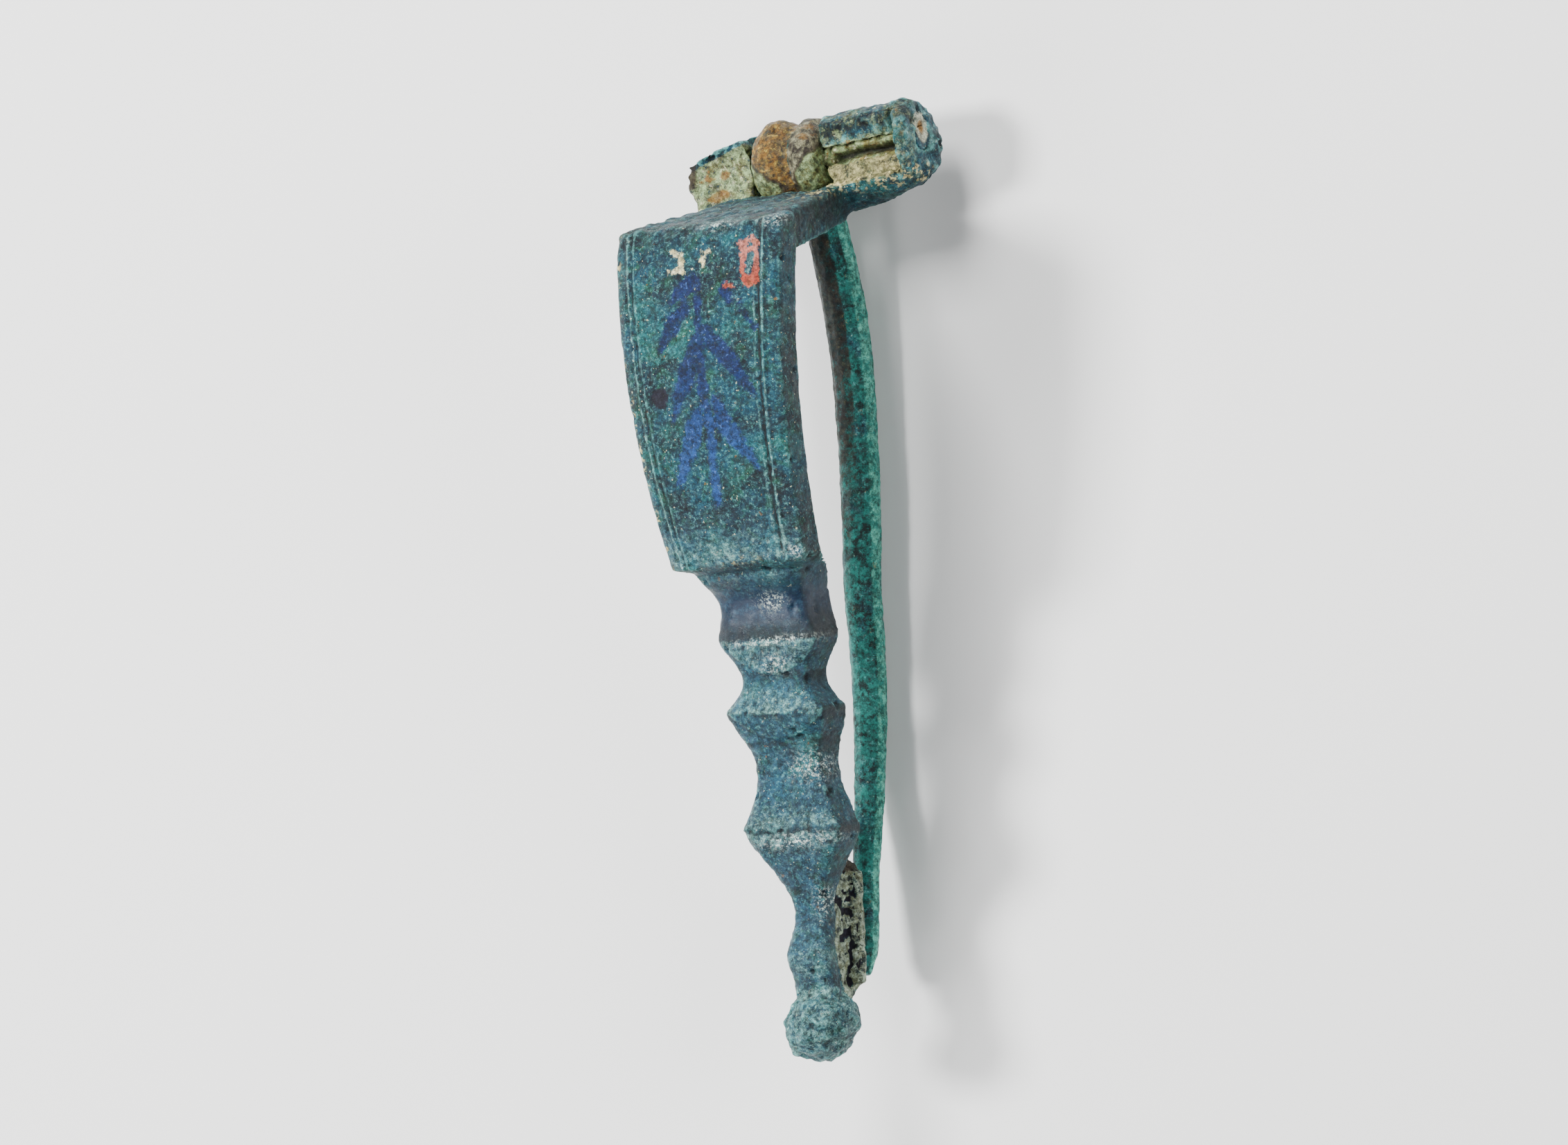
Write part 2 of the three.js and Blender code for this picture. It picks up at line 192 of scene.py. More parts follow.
# Blue enamel: a stem, leaves slanting down from it, each widest at its middle, and loose dashes.
STEM = ((0.3, -5.9), (0.2, -12.4), (0.4, -14.6), (0.0, -18.9))
STEM_WIDTHS = (0.2, 0.36, 0.3, 0.28)
LEAVES = (
    ((0.1, -6.1), (-0.7, -6.6), (-1.5, -7.2)),
    ((-0.6, -7.7), (-1.5, -8.5), (-2.4, -9.9)),
    ((0.1, -9.4), (-0.8, -11.6), (-2.1, -13.9)),
    ((-0.4, -13.8), (-1.0, -15.3), (-2.4, -17.7)),
    ((0.5, -9.0), (1.9, -10.5), (3.6, -13.1)),
    ((1.0, -13.2), (1.5, -14.7), (3.1, -17.1)),
)
LEAF_WIDTHS = (0.4, 0.62, 0.2)
# Single strokes: start, end, and half width at each.
DASHES = (((2.1, -6.9), (2.5, -7.5), 0.4, 0.3), ((3.1, -7.6), (3.9, -9.2), 0.16, 0.2))
# Red enamel, round a green core, with a small bar; and two cream marks.
RING = (((3.1, -4.3), (3.6, -4.3), 0.16, 0.3), ((3.8, -4.6), (3.8, -6.4), 0.66, 0.52))
RING_CORE = (((3.9, -4.4), (3.9, -4.5), 0.13, 0.13), ((3.9, -5.1), (3.7, -6.0), 0.26, 0.2))
RING_BAR = (((2.2, -6.7), (2.6, -6.7), 0.15, 0.15),)
CREAM = (
    ((-1.5, -4.4), (-0.8, -4.7), 0.12, 0.18),
    ((-0.8, -4.7), (-0.8, -5.5), 0.2, 0.24),
    ((-1.6, -5.5), (-0.9, -5.6), 0.1, 0.16),
    ((0.5, -4.6), (0.7, -4.9), 0.08, 0.12),
    ((1.1, -4.5), (0.7, -4.9), 0.09, 0.16),
    ((0.7, -4.9), (0.7, -5.4), 0.16, 0.08),
)


# Places, shares and noise.


def own(points):
    """Points of the frame, in the brooch's own millimetres."""
    return (points - HINGE) @ TURN / MM


def placed(points):
    """The brooch's own points, back in the frame."""
    return points * MM @ TURN.T + HINGE


def across_bar(points):
    """Places along and across the crossbar, which sits askew."""
    x, y, _ = points.T
    c, s = math.cos(CROSSBAR_TURN), math.sin(CROSSBAR_TURN)
    return c * x + s * y, c * y - s * x


def panel_front(y):
    return CREST_Z - (y - CREST_Y) ** 2 / ARCH


def panel_half(y):
    t = np.clip((PANEL_TOP - y) / (PANEL_TOP - PANEL_FOOT), 0, 1)
    return HALF_TOP + (HALF_FOOT - HALF_TOP) * t**1.5


def smooth(value, low, high):
    """0 at low and before it, 1 at high and past it."""
    t = np.clip((value - low) / (high - low), 0, 1)
    return t * t * (3 - 2 * t)


def bell(value, middle, width):
    """1 at the middle, fading to 0 on both sides."""
    return np.exp(-(((value - middle) / width) ** 2))


def blob(points, middle, size):
    """1 at the middle of a soft ellipsoid, fading to 0 outside it."""
    return np.exp(-(((points - np.array(middle)) / np.array(size)) ** 2).sum(axis=1))


def band(y, start, end):
    """Rises from 0 at start to 1 at end, and stops sharply there."""
    t = (y - start) / (end - start)
    return smooth(t, 0, 1) * (1 - smooth(np.abs(y - end) * np.sign(t - 1), 0, 0.14))


def bands(y, rows):
    return sum(strength * band(y, start, end) for start, end, strength in rows)


def border_lines(inset, side, rows, width):
    """Lines along the panel's borders; side is 1 on the right and -1 on the left."""
    return sum((strength + more * side) * bell(inset, at, width) for at, strength, more in rows)


def noise(points, size, seed):
    """Smooth noise, about -1 to 1, with lumps of that size."""
    draw = np.random.default_rng(seed)
    order = np.tile(draw.permutation(256), 2)
    slope = draw.normal(size=(256, 3))
    slope /= np.linalg.norm(slope, axis=1)[:, None]
    scaled = points / size + draw.uniform(0, 200, 3)
    cell = np.floor(scaled).astype(int)
    part = scaled - cell
    ease = part**3 * (part * (part * 6 - 15) + 10)
    total = np.zeros(len(points))
    for corner in np.ndindex(2, 2, 2):
        at = (cell + corner) % 256
        key = order[order[order[at[:, 0]] + at[:, 1]] + at[:, 2]]
        share = np.where(corner, ease, 1 - ease).prod(axis=1)
        total += share * (slope[key] * (part - corner)).sum(axis=1)
    return total * 1.7


def rough(points, size, seed):
    """Noise in three layers, each finer and weaker than the last."""
    return sum(noise(points, size / 2**k, seed + k) * 0.55**k for k in range(3))


def grains(points, size, seed):
    """How far the nearest of many scattered spots is, in spot sizes, and that spot's own number, 0 to 1."""
    scaled = points / size
    cell = np.floor(scaled).astype(int)
    near = np.full(len(points), 9.0)
    number = np.zeros(len(points))
    table = np.random.default_rng(seed).random((4096, 4))
    for step in np.ndindex(3, 3, 3):
        at = cell + step - 1
        key = (at[:, 0] * 73 + at[:, 1] * 179 + at[:, 2] * 283) % 4096
        apart = np.linalg.norm(at + table[key, :3] - scaled, axis=1)
        closer = apart < near
        near = np.where(closer, apart, near)
        number = np.where(closer, table[key, 3], number)
    return near, number


def strokes_along(places, widths):
    """Strokes from each place to the next."""
    return tuple(zip(places, places[1:], widths, widths[1:]))


def reach(points, strokes):
    """How far inside the nearest stroke each point is, seen from the front; below 0 outside."""
    flat = points[:, :2]
    best = np.full(len(points), -9.0)
    for start, end, first, last in strokes:
        a, b = np.array(start), np.array(end)
        t = np.clip((flat - a) @ (b - a) / ((b - a) @ (b - a)), 0, 1)
        apart = np.linalg.norm(flat - a - t[:, None] * (b - a), axis=1)
        best = np.maximum(best, first + (last - first) * t - apart)
    return best


# Fine meshes in place of the CAD pieces.


def refined(node, grain, passes):
    """An even mesh of a CAD piece with its edges a little softened, in the brooch's own millimetres."""
    mesh = frame["nodes"][node].data.copy()
    corners = np.array([v.co for v in mesh.vertices])
    mesh.vertices.foreach_set("co", own(corners).ravel())
    scratch = bpy.data.objects.new("scratch", mesh)
    bpy.context.scene.collection.objects.link(scratch)
    remesh = scratch.modifiers.new("even", "REMESH")
    remesh.mode = "VOXEL"
    remesh.voxel_size = grain
    soften = scratch.modifiers.new("soften", "SMOOTH")
    soften.factor = 0.5
    soften.iterations = passes
    fine = bpy.data.meshes.new_from_object(scratch.evaluated_get(bpy.context.evaluated_depsgraph_get()))
    bpy.data.objects.remove(scratch)
    bpy.data.meshes.remove(mesh)
    fine.materials.clear()
    return fine


def shape_of(mesh):
    """The mesh's points and their normals, as two arrays."""
    points = np.zeros(len(mesh.vertices) * 3)
    mesh.vertices.foreach_get("co", points)
    normals = np.zeros(len(mesh.vertices) * 3, np.float32)
    mesh.vertex_normals.foreach_get("vector", normals)
    return points.reshape(-1, 3), normals.reshape(-1, 3).astype(float)


def reshape(mesh, points):
    mesh.vertices.foreach_set("co", points.ravel())
    mesh.update()


def spread(mesh, values, passes):
    """Values averaged with their neighbours along the mesh's edges."""
    edges = np.zeros(len(mesh.edges) * 2, int)
    mesh.edges.foreach_get("vertices", edges)
    a, b = edges.reshape(-1, 2).T
    count = np.bincount(a, minlength=len(values)) + np.bincount(b, minlength=len(values))
    for _ in range(passes):
        total = np.bincount(a, values[b], len(values)) + np.bincount(b, values[a], len(values))
        values = (values + total / np.maximum(count, 1)) / 2
    return values


def softened(mesh, points, passes):
    return np.stack([spread(mesh, points[:, k], passes) for k in range(3)], axis=1)


def swelling(mesh, points, normals):
    """How far each point stands out of its neighbourhood: above 0 on edges, below 0 in hollows."""
    return ((points - softened(mesh, points, 6)) * normals).sum(axis=1)


def keep(mesh, name, values):
    """Stores a number or a place for every point, for the material to read."""
    kind = "FLOAT_VECTOR" if values.ndim == 2 else "FLOAT"
    layer = mesh.attributes.new(name, kind, "POINT")
    layer.data.foreach_set("vector" if values.ndim == 2 else "value", values.astype(np.float32).ravel())


def finished(mesh, name, points, marks, node, body, material):
    """Puts the sculpted piece back in the frame, in place of its CAD node."""
    reshape(mesh, points)
    normals = shape_of(mesh)[1]
    keep(mesh, "place", points)
    keep(mesh, "wear", swelling(mesh, points, normals))
    for mark, values in marks.items():
        keep(mesh, mark, values)
    mesh.shade_smooth()
    mesh.materials.append(material)
    reshape(mesh, placed(points))
    piece = bpy.data.objects.new(name, mesh)
    bpy.context.scene.collection.objects.link(piece)
    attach(piece, body)
    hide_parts(node)


# Finishes.


class Finish:
    """A material whose nodes are made by short calls. Sizes are millimetres of the brooch."""

    def __init__(self, name):
        self.material = bpy.data.materials.new(name)
        self.material.use_nodes = True
        self.tree = self.material.node_tree
        self.shader = self.tree.nodes["Principled BSDF"]
        self.place = self.read("place", "Vector")
        self.shader.inputs["Specular IOR Level"].default_value = 0.3

    def node(self, kind, values=(), **settings):
        made = self.tree.nodes.new("ShaderNode" + kind)
        for key, value in settings.items():
            setattr(made, key, value)
        for key, value in dict(values).items():
            self.put(made.inputs[key], value)
        return made

    def put(self, socket, value):
        if isinstance(value, bpy.types.NodeSocket):
            self.tree.links.new(value, socket)
        else:
            socket.default_value = value

    def read(self, name, output="Fac"):
        """A mark or place that the mesh keeps."""
        return self.node("Attribute", attribute_name=name).outputs[output]

    def calculate(self, operation, first, second):
        return self.node("Math", {0: first, 1: second}, operation=operation).outputs[0]

    def noise(self, size, detail, harsh, twist=0.0):
        lumps = {"Vector": self.place, "Scale": 1 / size}
        layers = {"Detail": detail, "Roughness": harsh, "Distortion": twist}
        return self.node("TexNoise", lumps | layers).outputs["Fac"]

    def between(self, value, low, high, least=0.0, most=1.0):
        """Goes smoothly from least where the value is at low to most where it is at high."""
        values = {"Value": value, "From Min": low, "From Max": high, "To Min": least, "To Max": most}
        return self.node("MapRange", values, interpolation_type="SMOOTHSTEP").outputs[0]

    def mix(self, share, below, above):
        made = self.node("Mix", data_type="RGBA")
        for socket, value in zip((made.inputs[0], made.inputs[6], made.inputs[7]), (share, below, above)):
            self.put(socket, value)
        return made.outputs[2]

    def fleck(self, colour, tone, noise, low, high, most=1.0):
        """The colour with flecks of another tone: none where the noise is at low, most of it at high."""
        return self.mix(self.between(noise, low, high, 0, most), colour, tone)

    def patch(self, colour, tone, mark, ragged, low, high, most=0.92):
        """The colour with another tone where a mark, broken up along its edge, is high enough."""
        return self.fleck(colour, tone, self.calculate("ADD", self.read(mark), ragged), low, high, most)

    def ragged(self, noise, strength):
        """Noise around 0, to break up the edge of a mark."""
        return self.calculate("MULTIPLY", self.calculate("SUBTRACT", noise, 0.5), strength)

    def uneven_roughness(self, least, most):
        return self.between(self.noise(0.8, 4, 0.6), 0.35, 0.65, least, most)


def paint(red, green, blue):
    """A colour from its everyday 0 to 255 values."""
    return (*[((v / 255 + 0.055) / 1.055) ** 2.4 for v in (red, green, blue)], 1.0)


# Patina.
DARK = paint(4, 12, 16)
DEEP = paint(0, 20, 32)
TEAL = paint(2, 52, 68)
GREEN = paint(20, 72, 48)
VERDIGRIS = paint(22, 100, 92)
# Painted light on the pin's wire.
LIT_VERDIGRIS = paint(92, 172, 152)
PALE = paint(92, 156, 152)
# Painted sheen, and navy painted as a dark reflection.
SHEEN_GREY_BLUE = paint(44, 82, 104)
DARK_REFLECTION_NAVY = paint(12, 26, 48)
# Pale patina and painted light, with deeper grains.
PALE_LIT_DEEP_TONE = paint(24, 60, 74)
PALE_LIT_TONE = paint(112, 156, 148)
# White of the painted highlights.
HIGHLIGHT_WHITE = paint(196, 210, 202)
GOLD = paint(186, 174, 122)
VOID = paint(14, 10, 24)
# Enamel.
BLUE = paint(4, 22, 66)
LIGHT_BLUE = paint(20, 56, 108)
BLUE_GRAIN = paint(70, 104, 168)
RED = paint(142, 54, 36)
PINK = paint(166, 100, 86)
ORANGE_GRAIN = paint(176, 96, 60)
CREAMY = paint(196, 194, 160)
# Crust, earth and rust.
MINT = paint(124, 142, 98)
OLIVE = paint(84, 80, 36)
LEDGE_CREAM = paint(146, 138, 94)
CATCH_CREAM = paint(146, 160, 140)
STONE = paint(118, 112, 86)
BROWN = paint(40, 30, 22)
DARK_RUST = paint(78, 60, 30)
RUST = paint(112, 76, 16)
YELLOW_RUST = paint(156, 134, 56)
RUST_HALO = paint(164, 166, 144)
OCHRE = paint(98, 62, 8)


def patina(finish):
    """Colour of corroded bronze: blue-green with darker, greener and paler grains, and cream flecks painted
    as glints.
    """
    colour = finish.fleck(DEEP, TEAL, finish.noise(2.6, 3, 0.6, 0.4), 0.38, 0.62)
    colour = finish.fleck(colour, VERDIGRIS, finish.noise(3.5, 4, 0.6, 0.5), 0.52, 0.66, 0.35)
    colour = finish.fleck(colour, GREEN, finish.noise(1.1, 5, 0.7, 0.8), 0.5, 0.66, 0.6)
    fine = finish.noise(0.22, 5, 0.85, 0.3)
    colour = finish.fleck(colour, PALE, fine, 0.5, 0.7, 0.65)
    colour = finish.fleck(colour, DARK, fine, 0.48, 0.34, 0.8)
    # Cream flecks painted as glints.
    colour = finish.fleck(colour, CREAMY, finish.noise(0.2, 2, 0.6), 0.67, 0.74, 0.8)
    return finish.fleck(colour, RUST, finish.noise(0.5, 2, 0.5), 0.72, 0.76, 0.6)


def worn(finish, colour):
    """Edges rubbed paler and hollows darkened."""
    chance = finish.calculate("MULTIPLY", finish.noise(0.4, 4, 0.7), 0.02)
    edge = finish.calculate("ADD", finish.read("wear"), chance)
    colour = finish.fleck(colour, PALE, edge, 0.025, 0.08, 0.6)
    return finish.fleck(colour, DARK, edge, 0.0, -0.06, 0.75)


def stained(finish, colour, ragged):
    """Iron rust from the axis bar on the crossbar's end, pale with an orange middle."""
    colour = finish.patch(colour, RUST_HALO, "stain", ragged, 0.3, 0.5)
    return finish.patch(colour, RUST, "stain", ragged, 0.7, 0.95)


def surface(finish, colour, depth, roughness, metal=0.0, even=0.0):
    """Fine pitting and an uneven shine, and the colour broken into light and dark grains; less where even."""
    grain = finish.noise(0.42, 6, 0.92)
    harsh = finish.calculate("SUBTRACT", 1.0, finish.calculate("MULTIPLY", even, 0.75))
    pits = finish.calculate("ADD", finish.noise(0.6, 6, 0.75), finish.calculate("MULTIPLY", grain, 0.6))
    pits = finish.calculate("MULTIPLY", pits, harsh)
    speckle = finish.calculate("MULTIPLY", finish.between(grain, 0.38, 0.62, -0.7, 0.8), harsh)
    speckle = finish.calculate("ADD", speckle, 1.0)
    shiny_grains = finish.between(grain, 0.55, 0.65, 0, 0.15)
    grainy = finish.node("VectorMath", {0: colour, 3: speckle}, operation="SCALE").outputs[0]
    bumps = finish.node("Bump", {"Height": pits, "Distance": depth * MM, "Strength": 1.0}).outputs[0]
    inputs = finish.shader.inputs
    finish.put(inputs["Base Color"], grainy)
    finish.put(inputs["Roughness"], finish.calculate("SUBTRACT", roughness, shiny_grains))
    finish.put(inputs["Metallic"], metal)
    finish.put(inputs["Normal"], bumps)
    return finish.material


def enamelled(finish, colour, ragged, height):
    """Blue enamel, brighter towards the foot, red enamel, pinker at its top, and cream."""
    blue = finish.mix(finish.between(height, *LIGHT_BLUE_FROM), BLUE, LIGHT_BLUE)
    blue = finish.fleck(blue, DEEP, finish.noise(0.4, 5, 0.8), 0.46, 0.6, 0.75)
    blue = finish.fleck(blue, BLUE_GRAIN, finish.noise(0.25, 4, 0.7), 0.56, 0.68, 0.6)
    red = finish.mix(finish.between(height, *DEEP_RED_FROM), PINK, RED)
    red = finish.fleck(red, ORANGE_GRAIN, finish.noise(0.5, 5, 0.7), 0.5, 0.62, 0.6)
    cream = finish.fleck(CREAMY, GOLD, finish.noise(0.5, 5, 0.7), 0.4, 0.6)
    colour = finish.patch(colour, blue, "enamel", ragged, -0.08, 0.12)
    colour = finish.patch(colour, red, "ring", ragged, -0.05, 0.08)
    return finish.patch(colour, cream, "cream", ragged, -0.05, 0.08)


def encrusted(finish, colour, ragged, height):
    """Pale concretion with olive and orange stains, cream earth, and brown, ochre and orange rust."""
    crust = finish.fleck(MINT, OLIVE, finish.noise(0.7, 5, 0.7), 0.42, 0.62)
    crust = finish.fleck(crust, TEAL, finish.noise(0.35, 5, 0.8), 0.5, 0.64, 0.8)
    crust = finish.fleck(crust, CREAMY, finish.noise(0.26, 5, 0.8), 0.53, 0.66, 0.7)
    crust = finish.fleck(crust, BROWN, finish.noise(0.32, 5, 0.8), 0.45, 0.35, 0.8)
    crust = finish.fleck(crust, RUST, finish.noise(1.1, 4, 0.7), 0.6, 0.68, 0.85)
    chalk = finish.mix(finish.between(height, *CATCH_CREAM_FROM), LEDGE_CREAM, CATCH_CREAM)
    chalk = finish.fleck(chalk, OLIVE, finish.noise(0.5, 6, 0.85), 0.43, 0.58, 0.8)
    chalk = finish.fleck(chalk, DARK, finish.noise(0.6, 5, 0.8), 0.49, 0.4, 0.95)
    colour = finish.patch(colour, crust, "crust", ragged, 0.3, 0.6)
    colour = finish.patch(colour, chalk, "chalk", ragged, 0.35, 0.6, 0.85)
    colour = finish.patch(colour, BROWN, "rust", ragged, 0.35, 0.6)
    colour = finish.patch(colour, OCHRE, "ochre", ragged, 0.4, 0.8, 0.75)
    return stained(finish, colour, ragged)


def body_finish():
    finish = Finish("enamelled_bronze")
    ragged = finish.ragged(finish.noise(0.55, 6, 0.8), 1.3)
    height = finish.node("SeparateXYZ", {0: finish.place}).outputs[1]
    polish_and_dark_reflection = finish.read("polish_and_dark_reflection")
    gloss_and_sheen = finish.read("gloss_and_sheen")
    # Bare bronze: a painted grey-blue sheen, navy painted as a dark reflection where it is polished, dark
    # colour with painted shade, and pale colour with painted light.
    sheen = finish.calculate("MULTIPLY", gloss_and_sheen, finish.between(finish.noise(0.7, 5, 0.7), 0.3, 0.62))
    colour = finish.mix(finish.calculate("MULTIPLY", sheen, 0.45), patina(finish), SHEEN_GREY_BLUE)
    colour = worn(finish, colour)
    # The polished cavetto is painted navy, as a dark reflection.
    dark_reflection = finish.fleck(DARK_REFLECTION_NAVY, SHEEN_GREY_BLUE, finish.noise(0.5, 5, 0.8), 0.48, 0.66, 0.4)
    colour = finish.mix(finish.calculate("MULTIPLY", polish_and_dark_reflection, 0.9), colour, dark_reflection)
    # Dark colour with painted shade.
    colour = finish.patch(colour, DARK, "dark_and_painted_shade", ragged, 0.0, 1.1, 0.85)
    # Pale colour and painted light, in one patch.
    pale_and_lit = finish.fleck(PALE_LIT_DEEP_TONE, PALE_LIT_TONE, finish.noise(0.45, 6, 0.9, 0.5), 0.43, 0.58)
    # Painted glints in that patch.
    pale_and_lit = finish.fleck(pale_and_lit, HIGHLIGHT_WHITE, finish.noise(0.18, 3, 0.7), 0.6, 0.7, 0.7)
    colour = finish.patch(colour, pale_and_lit, "pale_and_painted_light", finish.calculate("MULTIPLY", ragged, 2.0), 0.2, 1.0, 0.85)
    colour = enamelled(finish, colour, ragged, height)
    colour = finish.patch(colour, VOID, "void", ragged, 0.25, 0.5, 0.95)
    colour = encrusted(finish, colour, ragged, height)
    # Gold grains and painted highlights lie over everything.
    for mark, tone, grain in (
        ("gold", GOLD, finish.between(finish.noise(0.34, 3, 0.6), 0.52, 0.62)),
        ("painted_highlight", HIGHLIGHT_WHITE, finish.between(finish.noise(0.2, 4, 0.8), 0.5, 0.6)),
    ):
        colour = finish.mix(finish.calculate("MULTIPLY", finish.read(mark), grain), colour, tone)
    shine = finish.uneven_roughness(0.42, 0.7)
    shine = finish.calculate("SUBTRACT", shine, finish.calculate("MULTIPLY", gloss_and_sheen, 0.15))
    shine = finish.calculate("SUBTRACT", shine, finish.calculate("MULTIPLY", polish_and_dark_reflection, 0.04))
    return surface(finish, colour, 0.13, shine, 0.15, polish_and_dark_reflection)


def pin_finish():
    finish = Finish("verdigris_wire")
    ragged = finish.ragged(finish.noise(0.8, 6, 0.85), 2.6)
    colour = finish.fleck(patina(finish), VERDIGRIS, finish.noise(1.6, 5, 0.7, 0.5), 0.35, 0.55)
    colour = finish.fleck(colour, PALE, finish.noise(0.4, 5, 0.75), 0.52, 0.68, 0.7)
    colour = finish.fleck(colour, DARK, finish.noise(0.9, 6, 0.85), 0.5, 0.4, 0.9)
    colour = worn(finish, colour)
    # The wire's painted light, and its earth with painted shade on the opposite side.
    painted_lit_side = finish.fleck(VERDIGRIS, LIT_VERDIGRIS, finish.noise(0.5, 5, 0.8), 0.4, 0.6)
    earth_and_shade = finish.fleck(DARK, BROWN, finish.noise(0.4, 5, 0.7), 0.4, 0.6)
    stone = finish.fleck(BROWN, STONE, finish.noise(0.45, 6, 0.85), 0.42, 0.6)
    stone = finish.fleck(stone, RUST, finish.noise(1.3, 4, 0.7), 0.55, 0.66, 0.7)
    rust = finish.fleck(RUST, DARK_RUST, finish.noise(1.0, 6, 0.8), 0.42, 0.58)
    rust = finish.fleck(rust, YELLOW_RUST, finish.noise(0.28, 5, 0.8), 0.52, 0.64, 0.8)
    rust = finish.fleck(rust, DARK, finish.noise(0.3, 5, 0.8), 0.5, 0.38, 0.8)
    crust = finish.fleck(MINT, OLIVE, finish.noise(0.5, 6, 0.8), 0.42, 0.6)
    crust = finish.fleck(crust, DARK, finish.noise(0.3, 5, 0.8), 0.5, 0.64, 0.8)
    colour = finish.patch(colour, painted_lit_side, "painted_lit_side", ragged, 0.2, 0.9, 0.85)
    colour = finish.patch(colour, earth_and_shade, "earth_and_shade", ragged, 0.3, 0.8)
    colour = finish.patch(colour, stone, "stone", ragged, 0.3, 0.6)
    colour = finish.patch(colour, rust, "rust", ragged, 0.3, 0.6)
    colour = finish.patch(colour, crust, "crust", ragged, 0.3, 0.6)
    colour = finish.patch(colour, BROWN, "seam", 0.0, 0.2, 0.9, 0.8)
    return surface(finish, colour, 0.14, finish.uneven_roughness(0.36, 0.7), 0.1)


def iron_finish():
    finish = Finish("concreted_iron")
    colour = finish.fleck(OLIVE, MINT, finish.noise(0.8, 5, 0.7), 0.4, 0.62)
    colour = finish.fleck(colour, RUST, finish.noise(0.5, 5, 0.7), 0.55, 0.66, 0.85)
    colour = finish.fleck(colour, DEEP, finish.noise(0.3, 4, 0.7), 0.58, 0.7, 0.85)
    colour = finish.fleck(colour, CREAMY, finish.noise(0.35, 5, 0.8), 0.53, 0.66, 0.8)
    # Painted shade in the crevice along the crust.
    colour = finish.mix(finish.read("painted_crevice_shade"), colour, DARK)
    colour = finish.mix(finish.read("cap"), colour, patina(finish))
    colour = stained(finish, colour, 0.0)
    return surface(finish, colour, 0.12, finish.uneven_roughness(0.5, 0.8))


# The crust in the crossbar, which the casting and the axis bar share.


def crust_height(u, v):
    """How high dirt and rust stand in the right wing, in a heap and a ledge with a crevice between, and the
    lumps in them."""
    flat = np.stack([u, v, 0 * u], axis=1)
    lumps = 0.16 * rough(flat, 1.0, 71) + 0.1 * rough(flat, 0.45, 81)
    heap = 1.0 + 0.4 * smooth(v, 0.3, 1.9) + 1.3 * lumps
    ledge = 0.75 + 0.6 * smooth(-v, 0.5, 1.6) + 0.5 * lumps
    level = np.where(v > -0.1, heap, ledge)
    level -= 0.8 * bell(v, CREVICE + 0.1 * noise(flat, 1.5, 91), 0.2)
    level -= 0.9 * smooth(u, 6.5, 6.9) * smooth(v, -0.3, 0.4)
    level -= 0.7 * blob(flat, *CRUST_HOLE)
    return level, lumps


def rust_stain(u, v, z):
    """Rust on the crossbar's right end, 1 in its middle."""
    across = bell(v, STAIN_MIDDLE[0], STAIN_SIZE[0])
    return (u > WING_INNER_END) * across * bell(z, STAIN_MIDDLE[1], STAIN_SIZE[1])


def broken_height(u):
    """How far up the left wing's broken upper wall still stands; well above it elsewhere."""
    return np.where(u < -1.5, 2.5 + (u + 1.5) * 0.24, 9.0)


# The casting.


def clog_troughs(points):
    """Raises the troughs' floors to the crust in them, and says which points it may have raised."""
    u, v = across_bar(points)
    z = points[:, 2]
    level, lumps = crust_height(u, v)
    left_level = 1.4 + 0.3 * smooth(np.abs(v), 0.6, 1.7) + 2.2 * lumps
    inside = (v > TROUGH_SIDES[0]) & (v < TROUGH_SIDES[1]) & (z < TROUGH_RIM)
    right = inside & (u > HINGE_SLOT[1] - 0.1) & (u < WING_INNER_END) & (z > RIGHT_TROUGH_FLOOR)
    left = inside & (u < HINGE_SLOT[0] + 0.1) & (z > LEFT_TROUGH_FLOOR)
    points[:, 2] = np.where(right, np.maximum(z, level), np.where(left, np.maximum(z, left_level), z))
    # The crust closes in on the bar, along the trough and round its end.
    nearer = -0.4 * v * right * (1 - smooth(np.abs(v), 1.0, 1.6))
    rim = (u > WING_INNER_END - 0.1) & (np.hypot(v, z) < 1.1)
    points[:, 1] += nearer * math.cos(CROSSBAR_TURN) - 0.28 * rim * v
    points[:, 2] -= 0.28 * rim * z
    return right | left


def rounded_casting():
    """The casting's fine mesh, rounded at its bend and waists, with which of its points are in clogged
    troughs and how much each is in the bend."""
    mesh = refined("brooch_body", BODY_GRAIN, 4)
    points = shape_of(mesh)[0]
    clogged = clog_troughs(points)
    y = points[:, 1]
    bend = smooth(y, *BEND_BELOW) * (1 - smooth(y, *BEND_ABOVE))
    waist = sum(bell(y, middle, half) for middle, half in WAISTS)
    points += (softened(mesh, points, 24) - points) * np.clip(bend + 0.8 * waist, 0, 1)[:, None]
    reshape(mesh, points)
    return mesh, clogged, bend


